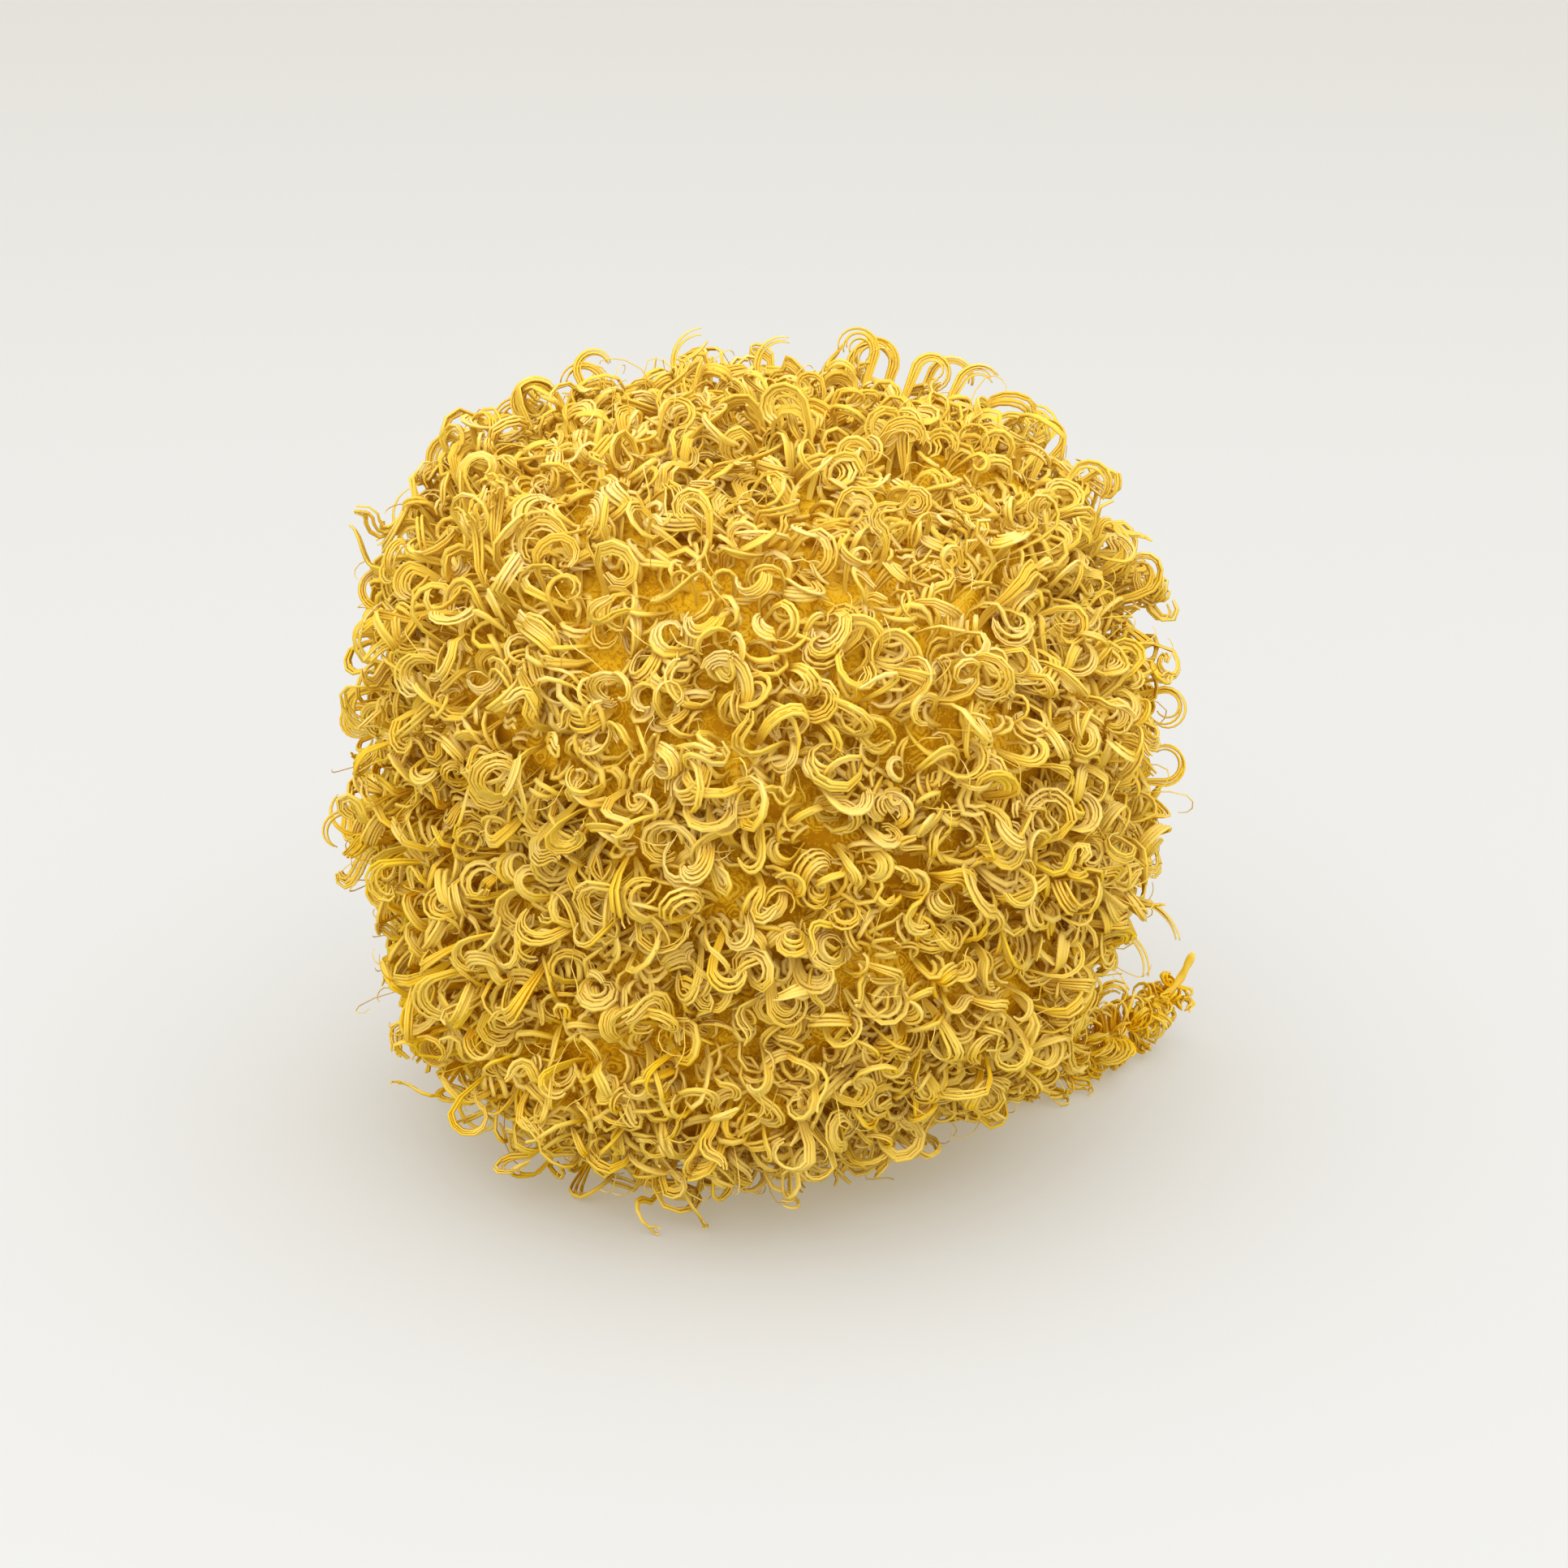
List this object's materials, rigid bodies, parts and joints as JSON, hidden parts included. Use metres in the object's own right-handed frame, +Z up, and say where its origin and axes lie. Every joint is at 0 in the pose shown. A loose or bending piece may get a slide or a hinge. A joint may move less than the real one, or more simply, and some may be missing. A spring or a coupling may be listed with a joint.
{
  "type": "ball of yarn",
  "caption": "Ball of curly pile yarn, wound by hand in crossing turns, with its loose end lying beside it and a small flat spot where it rests.",
  "frame": {"origin": "middle of the ball's box in plan, on the surface that the ball rests on", "axes": "+Z up from the flat spot; +X towards the side that the loose end lies on; -Y towards the front"},
  "size_m": [0.1189, 0.108, 0.106],
  "materials": {
    "curly_yarn": "soft curly pile with a faint sheen"
  },
  "bodies": {
    "root": {"ball": "curly_yarn", "loose_end": "curly_yarn"}
  },
  "joints": []
}
